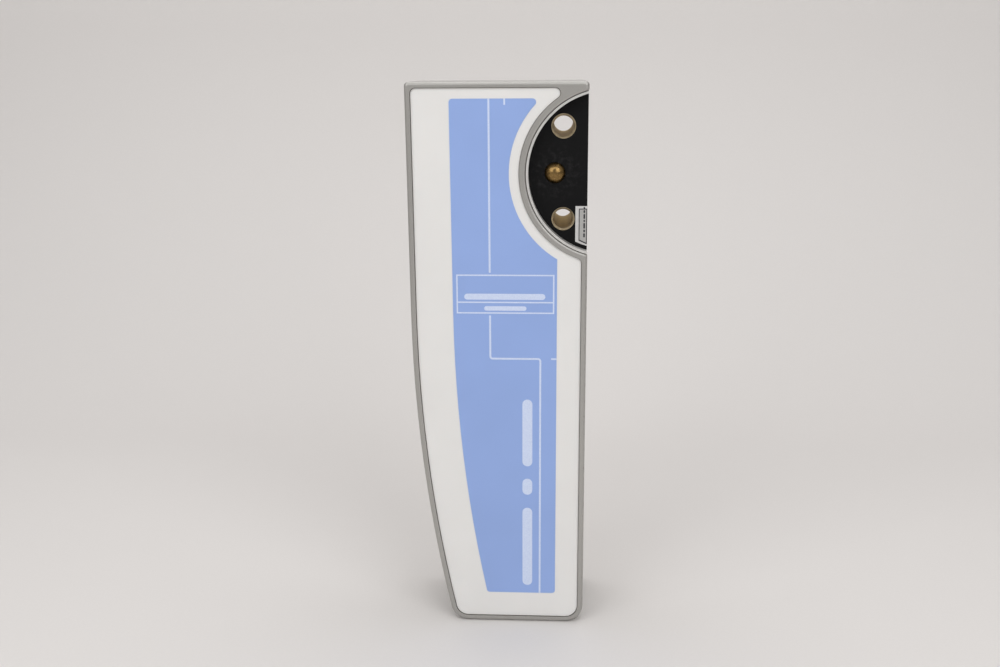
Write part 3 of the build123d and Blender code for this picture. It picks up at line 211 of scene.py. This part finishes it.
class Surface:
    """A principled material that is built up in object space."""

    def __init__(self, name):
        self.material = bpy.data.materials.new(name)
        self.material.use_nodes = True
        self.tree = self.material.node_tree
        self.tree.nodes.clear()
        self.shader = self.tree.nodes.new("ShaderNodeBsdfPrincipled")
        output = self.tree.nodes.new("ShaderNodeOutputMaterial")
        self.tree.links.new(self.shader.outputs[0], output.inputs["Surface"])
        coords = self.tree.nodes.new("ShaderNodeTexCoord")
        self.place = coords.outputs["Object"]

    def put(self, kind, inputs=(), **settings):
        """Add a node; inputs pairs a socket name or number with a value or another socket."""
        node = self.tree.nodes.new(kind)
        for key, value in settings.items():
            setattr(node, key, value)
        for key, value in inputs:
            self.feed(node.inputs[key], value)
        return node

    def feed(self, socket, value):
        """Link a socket, or set a constant."""
        if isinstance(value, bpy.types.NodeSocket):
            self.tree.links.new(value, socket)
        else:
            socket.default_value = value

    def set(self, **values):
        """Set or link the shader's own sockets, with underscores for spaces."""
        for key, value in values.items():
            self.feed(self.shader.inputs[key.replace("_", " ")], value)

    def noise(self, size, detail=2.0, stretch=(1.0, 1.0, 1.0), roughness=0.5):
        """Noise whose blotches are about size metres across, drawn out along stretch."""
        scale = tuple(1.0 / s for s in stretch)
        mapping = self.put("ShaderNodeMapping", [("Vector", self.place), ("Scale", scale)])
        inputs = [("Vector", mapping.outputs[0]), ("Scale", 1.0 / size)]
        inputs += [("Detail", detail), ("Roughness", roughness)]
        return self.put("ShaderNodeTexNoise", inputs).outputs["Fac"]

    def span(self, value, low, high, to_low=0.0, to_high=1.0):
        """Map low..high to to_low..to_high, clamped."""
        inputs = [("Value", value), ("From Min", low), ("From Max", high)]
        inputs += [("To Min", to_low), ("To Max", to_high)]
        return self.put("ShaderNodeMapRange", inputs).outputs["Result"]

    def maths(self, operation, a, b=0.0):
        """One arithmetic step."""
        return self.put("ShaderNodeMath", [(0, a), (1, b)], operation=operation).outputs[0]

    def axis(self, letter):
        """One coordinate of the surface point."""
        return self.put("ShaderNodeSeparateXYZ", [(0, self.place)]).outputs[letter]

    def distance(self, point):
        """Distance of the surface point from a point."""
        inputs = [(0, self.place), (1, tuple(point))]
        return self.put("ShaderNodeVectorMath", inputs, operation="DISTANCE").outputs["Value"]

    def mix(self, factor, a, b):
        """Blend two colours."""
        node = self.put("ShaderNodeMix", data_type="RGBA")
        self.feed(node.inputs["Factor"], factor)
        self.feed(node.inputs[6], a)
        self.feed(node.inputs[7], b)
        return node.outputs[2]

    def bump(self, *layers):
        """Stack bumps; each layer is (height socket, depth in metres)."""
        normal = None
        for height, depth in layers:
            inputs = [("Height", height), ("Strength", 1.0), ("Distance", depth)]
            if normal is not None:
                inputs.append(("Normal", normal))
            normal = self.put("ShaderNodeBump", inputs).outputs[0]
        self.set(Normal=normal)

    def occlusion(self, reach):
        """How open the surface is within reach: 1 in the open, lower in a crevice."""
        return self.put("ShaderNodeAmbientOcclusion", [("Distance", reach)], samples=8).outputs["AO"]


def rgb(red, green, blue):
    """A colour given as it looks on a screen, 0 to 255, as linear light."""
    def linear(c):
        c /= 255.0
        return c / 12.92 if c <= 0.04045 else ((c + 0.055) / 1.055) ** 2.4
    return (linear(red), linear(green), linear(blue), 1.0)


def shade(colour, amount):
    """A colour made lighter or darker by a share."""
    return tuple(c * amount for c in colour[:3]) + (1.0,)


def grained(name, colour, rough, metallic, size, contrast):
    """A surface with fine grain, broad patches and uneven gloss."""
    s = Surface(name)
    fine = s.noise(size, 3.0)
    broad = s.noise(30 * size, 2.0)
    tone = s.mix(s.span(fine, 0.3, 0.7), shade(colour, 1 - contrast), shade(colour, 1 + contrast))
    tone = s.mix(s.span(broad, 0.35, 0.65, 0.0, 0.5), tone, shade(colour, 1 - contrast))
    s.set(Base_Color=tone, Metallic=metallic)
    s.set(Roughness=s.span(broad, 0.3, 0.7, rough * 0.88, rough * 1.12))
    s.bump((fine, GRAIN_DEPTH))
    return s.material


# ---------------------------------------------------------------- materials


def frame_paint():
    """Fine silver-grey stoved paint, darkened in crevices by grime and painted shade, and chipped along
    the right edge.
    """
    s = Surface("frame_paint")
    flake = s.noise(0.12 * MM, 1.0)
    peel = s.noise(0.9 * MM, 2.0)
    broad = s.noise(35 * MM, 2.0)
    base = rgb(172, 170, 166)
    tone = s.mix(s.span(flake, 0.3, 0.7), shade(base, 0.86), shade(base, 1.12))
    tone = s.mix(s.span(broad, 0.35, 0.65, 0.0, 0.6), tone, shade(base, 0.92))
    # grime and painted shade: an occlusion mask darkens the crevices towards brown
    grime_and_shade = s.span(s.occlusion(0.8 * MM), 0.45, 0.85, 0.8, 0.0)
    tone = s.mix(grime_and_shade, tone, rgb(70, 58, 44))
    chips = chip_mask(s)
    tone = s.mix(chips, tone, rgb(118, 114, 108))
    from_seam = s.maths("ABSOLUTE", s.maths("SUBTRACT", s.axis("Y"), SEAM))
    seam = s.span(from_seam, SEAM_LINE, SEAM_FADE, 1.0, 0.0)
    tone = s.mix(seam, tone, rgb(58, 55, 52))
    s.set(Base_Color=tone, Metallic=0.55)
    s.set(Roughness=s.span(broad, 0.3, 0.7, 0.36, 0.46))
    s.set(Coat_Weight=0.5, Coat_Roughness=0.14)
    dents = s.maths("MULTIPLY", s.maths("MAXIMUM", chips, seam), -1.0)
    s.bump((flake, 0.003 * MM), (peel, 0.012 * MM), (dents, 0.06 * MM))
    return s.material


def chip_mask(s):
    """Small knocks along the housing's right front edge."""
    near_side = s.span(s.axis("X"), HIGH.x - CHIPS_SIDE[0], HIGH.x - CHIPS_SIDE[1])
    near_front = s.span(s.axis("Y"), LOW.y + CHIPS_FRONT[0], LOW.y + CHIPS_FRONT[1])
    specks = s.span(s.noise(1.1 * MM, 3.0, (1, 1, 1.6), 0.7), 0.58, 0.63)
    return s.maths("MULTIPLY", s.maths("MULTIPLY", near_side, near_front), specks)


def window_plastic():
    """White moulded plastic with a fine eggshell surface, soiled and darkened with painted shade where
    it meets the frame.
    """
    s = Surface("window_plastic")
    fine = s.noise(0.35 * MM, 2.0)
    broad = s.noise(28 * MM, 3.0)
    base = rgb(233, 232, 230)
    tone = s.mix(s.span(broad, 0.3, 0.7), shade(base, 0.975), base)
    # grime and painted shade: an occlusion mask, broken up by noise, darkens the edges by the frame
    # towards brown
    grime_and_shade = s.span(s.occlusion(0.5 * MM), 0.3, 0.7, 0.5, 0.0)
    patchy_grime_and_shade = s.maths("MULTIPLY", grime_and_shade, s.span(s.noise(4 * MM, 3.0), 0.35, 0.6, 0.25, 1.0))
    tone = s.mix(patchy_grime_and_shade, tone, rgb(168, 146, 116))
    s.set(Base_Color=tone, Specular_IOR_Level=0.4)
    s.set(Roughness=s.span(broad, 0.3, 0.7, 0.38, 0.46))
    s.set(Subsurface_Weight=0.08, Subsurface_Radius=(1.0 * MM, 0.8 * MM, 0.7 * MM))
    s.bump((fine, 0.004 * MM))
    return s.material


def film_blue():
    """Periwinkle print under a satin overlay."""
    s = Surface("film_blue")
    fine = s.noise(0.25 * MM, 2.0)
    broad = s.noise(45 * MM, 2.0)
    base = rgb(149, 175, 229)
    tone = s.mix(s.span(broad, 0.3, 0.7), shade(base, 0.96), shade(base, 1.03))
    tone = s.mix(s.span(fine, 0.35, 0.65, 0.0, 0.35), tone, shade(base, 0.94))
    s.set(Base_Color=tone, Specular_IOR_Level=0.4)
    s.set(Roughness=s.span(broad, 0.3, 0.7, 0.36, 0.42))
    s.bump((fine, 0.003 * MM))
    return s.material


def film_ink():
    """Thin white ink, which lets a little of the blue through."""
    s = Surface("film_ink")
    patch = s.noise(0.5 * MM, 3.0)
    s.set(Base_Color=s.mix(s.span(patch, 0.35, 0.65), rgb(201, 214, 243), rgb(212, 224, 248)))
    s.set(Roughness=s.span(patch, 0.3, 0.7, 0.40, 0.48))
    s.bump((patch, 0.002 * MM))
    return s.material


def block_black():
    """Black plastic, matte, rubbed a little round the ball."""
    s = Surface("block_black")
    fine = s.noise(0.2 * MM, 2.0)
    smudge = s.noise(2.6 * MM, 4.0, roughness=0.6)
    centre = (BALL_LOW + BALL_HIGH) / 2 - Vector((0, RUB_FORWARD, 0))
    near = s.span(s.distance(centre), RUB_FULL, RUB_END, 1.0, 0.0)
    rub = s.maths("MULTIPLY", near, s.span(smudge, 0.48, 0.72))
    dust = s.span(s.noise(0.35 * MM, 1.0), 0.72, 0.76, 0.0, 0.25)
    tone = s.mix(s.span(fine, 0.3, 0.7), rgb(12, 12, 13), rgb(18, 18, 19))
    tone = s.mix(rub, tone, rgb(38, 37, 38))
    tone = s.mix(dust, tone, rgb(96, 94, 90))
    s.set(Base_Color=tone, Specular_IOR_Level=0.12)
    s.set(Roughness=s.span(rub, 0.0, 1.0, 0.62, 0.45))
    s.bump((fine, 0.006 * MM), (smudge, 0.004 * MM))
    return s.material


def brass(name, tone, rough, scratch, grime_and_shade_amount):
    """Tarnished brass; scratch is the direction of its fine marks, and the last argument sets how far
    grime and painted shade darken its crevices.
    """
    s = Surface(name)
    marks = s.noise(0.08 * MM, 2.0, scratch)
    stain = s.noise(2.2 * MM, 4.0, roughness=0.6)
    colour = s.mix(s.span(stain, 0.35, 0.65), shade(tone, 0.72), shade(tone, 1.08))
    colour = s.mix(s.span(marks, 0.45, 0.75, 0.0, 0.5), colour, shade(tone, 1.35))
    # grime and painted shade: an occlusion mask darkens bores and crevices towards dark brown
    grime_and_shade = s.span(s.occlusion(2 * MM), 0.3, 0.8, grime_and_shade_amount, 0.0)
    colour = s.mix(grime_and_shade, colour, rgb(58, 44, 24))
    s.set(Base_Color=colour, Metallic=1.0, Specular_Tint=shade(tone, 0.9))
    s.set(Roughness=s.span(stain, 0.3, 0.7, rough * 0.8, rough * 1.25))
    s.bump((marks, 0.002 * MM))
    return s.material


def turned_alloy():
    """Bright turned aluminium with fine rings along its depth."""
    s = Surface("turned_alloy")
    rings = s.noise(0.1 * MM, 2.0, (60, 1, 60))
    stain = s.noise(3 * MM, 3.0)
    base = rgb(226, 225, 222)
    tone = s.mix(s.span(stain, 0.35, 0.7), base, shade(base, 0.85))
    s.set(Base_Color=tone, Metallic=0.5)
    s.set(Roughness=s.span(stain, 0.3, 0.7, 0.28, 0.38))
    s.bump((rings, 0.004 * MM))
    return s.material


def sticker_foil():
    """Satin foil sticker, a little rubbed."""
    s = Surface("sticker_foil")
    brushed = s.noise(0.06 * MM, 2.0, (1, 1, 40))
    broad = s.noise(3 * MM, 3.0)
    base = rgb(214, 213, 212)
    tone = s.mix(s.span(broad, 0.35, 0.7), base, shade(base, 0.88))
    s.set(Base_Color=tone, Metallic=0.3)
    s.set(Roughness=s.span(broad, 0.3, 0.7, 0.36, 0.46))
    s.bump((brushed, 0.002 * MM))
    return s.material


def plain_finishes():
    """Finishes of the cover, fasteners, connector and pieces inside, one per slot."""
    table = {  # colour, roughness, metallic, grain size, contrast
        "cover_paint": (rgb(166, 164, 160), 0.42, 0.5, 0.15 * MM, 0.1),
        "seal_rubber": (rgb(30, 30, 31), 0.75, 0.0, 0.5 * MM, 0.15),
        "screw_steel": (rgb(178, 177, 174), 0.3, 1.0, 0.3 * MM, 0.1),
        "follower_plastic": (rgb(226, 222, 212), 0.5, 0.0, 0.4 * MM, 0.04),
        "spring_steel": (rgb(160, 158, 154), 0.28, 1.0, 0.2 * MM, 0.12),
        "connector_metal": (rgb(196, 194, 188), 0.25, 1.0, 0.5 * MM, 0.08),
        "insert_plastic": (rgb(34, 34, 36), 0.5, 0.0, 0.3 * MM, 0.15),
        "pin_gilt": (rgb(222, 182, 96), 0.22, 1.0, 0.3 * MM, 0.08),
        "wire_sheath": (rgb(122, 124, 130), 0.5, 0.0, 0.6 * MM, 0.08),
        "bare_alloy": (rgb(200, 200, 201), 0.36, 1.0, 0.25 * MM, 0.08),
        "board_laminate": (rgb(30, 92, 52), 0.35, 0.0, 0.8 * MM, 0.12),
        "standoff_brass": (rgb(196, 160, 92), 0.3, 1.0, 0.3 * MM, 0.08),
        "chip_plastic": (rgb(40, 40, 42), 0.55, 0.0, 0.2 * MM, 0.12),
        "can_steel": (rgb(190, 190, 188), 0.3, 1.0, 0.6 * MM, 0.06),
        "can_alloy": (rgb(182, 184, 190), 0.34, 0.6, 0.4 * MM, 0.06),
        "strap_copper": (rgb(202, 128, 92), 0.35, 1.0, 0.3 * MM, 0.14),
        "mask_lead": (rgb(104, 106, 112), 0.55, 0.8, 0.9 * MM, 0.14),
        "pad_rubber": (rgb(150, 152, 168), 0.7, 0.0, 0.5 * MM, 0.06),
        "carrier_ceramic": (rgb(228, 226, 218), 0.5, 0.0, 0.3 * MM, 0.04),
        "sensor_silicon": (rgb(70, 72, 92), 0.12, 0.4, 1.2 * MM, 0.1),
        "fibre_glass": (rgb(96, 104, 104), 0.15, 0.0, 0.1 * MM, 0.15),
        "screen_layer": (rgb(236, 236, 220), 0.8, 0.0, 0.2 * MM, 0.05),
        "flex_film": (rgb(184, 116, 40), 0.3, 0.0, 0.7 * MM, 0.1),
    }
    return {slot: grained(slot, *values) for slot, values in table.items()}


FINISHES = plain_finishes()
FINISHES["frame_paint"] = frame_paint()
FINISHES["window_plastic"] = window_plastic()
FINISHES["printed_film"] = film_blue()
FINISHES["ring_alloy"] = turned_alloy()
FINISHES["block_plastic"] = block_black()
FINISHES["ball_brass"] = brass("ball_brass", rgb(141, 114, 72), 0.27, (3, 3, 3), 0.5)
FINISHES["bushing_brass"] = brass("bushing_brass", rgb(198, 182, 152), 0.36, (1, 60, 1), 0.05)
FINISHES["sticker_foil"] = sticker_foil()
INK = film_ink()


def dress_cad():
    """Give every CAD piece the finish of its slot."""
    for entry in frame["record"]["subparts"]:
        piece = frame["nodes"][entry["node"]]
        finish = FINISHES[entry["material_slot"]]
        if not piece.data.materials:
            piece.data.materials.append(finish)
        for slot in piece.material_slots:
            slot.material = finish


# ---------------------------------------------------------------- print on the film


def film_x(inset):
    """A place on X, measured in from the film's right edge."""
    return FILM_HIGH.x - inset


def film_z(rise):
    """A place on Z, measured up from the film's bottom."""
    return FILM_LOW.z + rise


def upright(x, width, low, high):
    """Outline of an upright line centred on x."""
    return rectangle(x - width / 2, x + width / 2, low, high)


def print_on_film(name, outlines):
    """White ink on the film's front face."""
    print_piece(name, outlines, FILM_LOW.y - INK_PROUD, FILM_LOW.y + INK_SUNK, INK)


def print_lines():
    """The line that follows the upper detector, steps over, and follows the lower one."""
    jog = (FILM_LOW.z + FILM_HIGH.z) / 2 + JOG_LIFT
    box_high = film_z(BOX_HIGH) + LINE_GAP
    box_low = film_z(BOX_LOW) - LINE_GAP
    corners = [(UPPER_LINE, box_low), (UPPER_LINE, jog), (LOWER_LINE, jog), (LOWER_LINE, FILM_LOW.z)]
    outlines = [
        upright(UPPER_LINE, LINE_WIDTH, box_high, FILM_HIGH.z),
        stroke(rounded_path(corners, JOG_ROUND), LINE_WIDTH),
        upright(film_x(TOP_TICK), TICK_WIDTH, FILM_HIGH.z - TICK_LENGTH, FILM_HIGH.z),
        rectangle(film_x(SIDE_TICK), FILM_HIGH.x, jog - TICK_WIDTH / 2, jog + TICK_WIDTH / 2),
    ]
    print_on_film("print_lines", outlines)


def print_box():
    """A divided box across the line."""
    left, right = film_x(BOX_LEFT), film_x(BOX_RIGHT)
    low, high = film_z(BOX_LOW), film_z(BOX_HIGH)
    divider = film_z(BOX_DIVIDER)
    w = BOX_LINE
    outlines = [
        rectangle(left, right, low, low + w),
        rectangle(left, right, high - w, high),
        rectangle(left, left + w, low + w, high - w),
        rectangle(right - w, right, low + w, high - w),
        rectangle(left + w, right - w, divider - w / 2, divider + w / 2),
    ]
    print_on_film("print_box", outlines)


def print_bars():
    """Plain bars where the lettering would be: one in each cell, three up the lower line."""
    outlines = []
    for left, right, low, thick in CELL_BARS:
        z = film_z(low)
        outlines.append(pill(film_x(left), film_x(right), z, z + thick))
    x = LOWER_LINE - SIDE_BAR_GAP
    for low, high in SIDE_BARS:
        outlines.append(pill(x - SIDE_BAR_WIDTH, x, film_z(low), film_z(high)))
    print_on_film("print_bars", outlines)


# ---------------------------------------------------------------- print on the sticker


def sticker_print():
    """Dark outline on the sticker, open to the right, round a grey field with short plain bars."""
    dark = grained("sticker_dark", rgb(46, 46, 50), 0.5, 0.0, 0.2 * MM, 0.2)
    grey = grained("sticker_grey", rgb(176, 175, 173), 0.42, 0.1, 0.3 * MM, 0.05)
    left, right = STICKER_LOW.x + STICKER_BORDER, STICKER_HIGH.x
    top = STICKER_HIGH.z - STICKER_TOP
    foot = STICKER_LOW.z + STICKER_END
    w = OUTLINE_WIDTH
    bottom_left = (left + w, foot + w)
    foot_left = (left + w, foot - FOOT_LEFT_DROP)
    foot_inside = (right - w, foot - FOOT_FIELD_DROP)
    foot_outside = (right - w, foot - FOOT_RIGHT_DROP)
    field = [bottom_left, foot_inside, (right - w, top - w), (left + w, top - w)]
    outline = [
        [(left, foot), foot_left, (left + w, top), (left, top)],
        rectangle(left + w, right, top - w, top),
        [foot_left, foot_outside, foot_inside, bottom_left],
        [foot_outside, (right, foot - FOOT_END_DROP), (right, top - w), (right - w, top - w)],
    ]
    face = STICKER_LOW.y
    print_piece("sticker_field", [field], face - INK_PROUD, face + INK_SUNK, grey)
    middle = (left + right) / 2 + MARKS_ASIDE
    z = foot + FIRST_MARK
    bars = []
    for length in MARK_LENGTHS:
        bars.append(pill(middle - MARK_WIDTH / 2, middle + MARK_WIDTH / 2, z, z + length, MARK_STEPS))
        z += length + MARK_GAP
    print_piece("sticker_outline", outline + bars, face - 2 * INK_PROUD, face, dark)


# ---------------------------------------------------------------- studio

VIEW_FROM = Vector((31.7, -583.8, 305.4)) * MM
VIEW_PITCH = 76.13              # degrees up from straight down
VIEW_ROLL = 0.32
VIEW_TURN = 3.06
LENS = 38.9                     # in millimetres, as the sensor is
SENSOR = 36.0

SWEEP_BACK = 0.62               # where the wall stands behind the object
SWEEP_RADIUS = 0.35
SWEEP_WIDTH = 14.0
SWEEP_FRONT = -7.0
SWEEP_HEIGHT = 2.2
SWEEP_STEPS = 24

LIGHTS = {                      # degrees turned and lifted, distance, (width, height), watts
    "box_right": (34, 30, 1.3, (0.8, 0.8), 4.5),
    "box_left": (-40, 32, 1.3, (0.8, 0.8), 3.9),
    "top_front": (4, 55, 1.2, (1.1, 0.3), 2.0),
    "overhead": (180, 80, 1.1, (1.2, 0.6), 4.5),
}
AIR_TINT = (1.0, 0.985, 0.975, 1.0)
AIR_STRENGTH = 0.40


def backdrop():
    """A pale seamless sweep: floor, curve and wall."""
    profile = [(SWEEP_FRONT, 0.0)]
    for i in range(SWEEP_STEPS + 1):
        a = pi / 2 * i / SWEEP_STEPS
        profile.append((SWEEP_BACK - SWEEP_RADIUS + SWEEP_RADIUS * sin(a), SWEEP_RADIUS * (1 - cos(a))))
    profile.append((SWEEP_BACK, SWEEP_HEIGHT))
    verts = [(x, y, z) for y, z in profile for x in (-SWEEP_WIDTH / 2, SWEEP_WIDTH / 2)]
    faces = [(2 * i, 2 * i + 1, 2 * i + 3, 2 * i + 2) for i in range(len(profile) - 1)]
    mesh = bpy.data.meshes.new("sweep")
    mesh.from_pydata(verts, [], faces)
    for polygon in mesh.polygons:
        polygon.use_smooth = True
    sweep = linked("sweep", mesh)
    s = Surface("sweep_paper")
    fibre = s.noise(1.5 * MM, 3.0)
    s.set(Base_Color=s.mix(fibre, rgb(219, 216, 214), rgb(223, 220, 218)), Roughness=0.85)
    s.set(Specular_IOR_Level=0.1)
    mesh.materials.append(s.material)


def soft_light(name, turn, lift, distance, size, power):
    """A soft box, turned round the object from the front and lifted, facing its middle."""
    target = (LOW + HIGH) / 2
    a, b = radians(turn), radians(lift)
    away = Vector((sin(a) * cos(b), -cos(a) * cos(b), sin(b)))
    light = bpy.data.lights.new(name, "AREA")
    light.shape = "RECTANGLE"
    light.size, light.size_y = size
    light.energy = power
    lamp = linked(name, light)
    lamp.location = target + away * distance
    lamp.rotation_euler = away.to_track_quat("Z", "Y").to_euler()


def studio():
    """Lights, world and camera."""
    for name, values in LIGHTS.items():
        soft_light(name, *values)
    world = bpy.data.worlds.new("studio_air")
    world.use_nodes = True
    air = world.node_tree.nodes["Background"]
    air.inputs["Color"].default_value = AIR_TINT
    air.inputs["Strength"].default_value = AIR_STRENGTH
    scene = bpy.context.scene
    scene.world = world
    scene.view_settings.view_transform = "Standard"
    camera = bpy.data.cameras.new("camera")
    camera.lens = LENS
    camera.sensor_width = SENSOR
    holder = linked("camera", camera)
    holder.location = VIEW_FROM
    holder.rotation_euler = (radians(VIEW_PITCH), radians(VIEW_ROLL), radians(VIEW_TURN))
    scene.camera = holder


dress_cad()
print_lines()
print_box()
print_bars()
sticker_print()
backdrop()
studio()
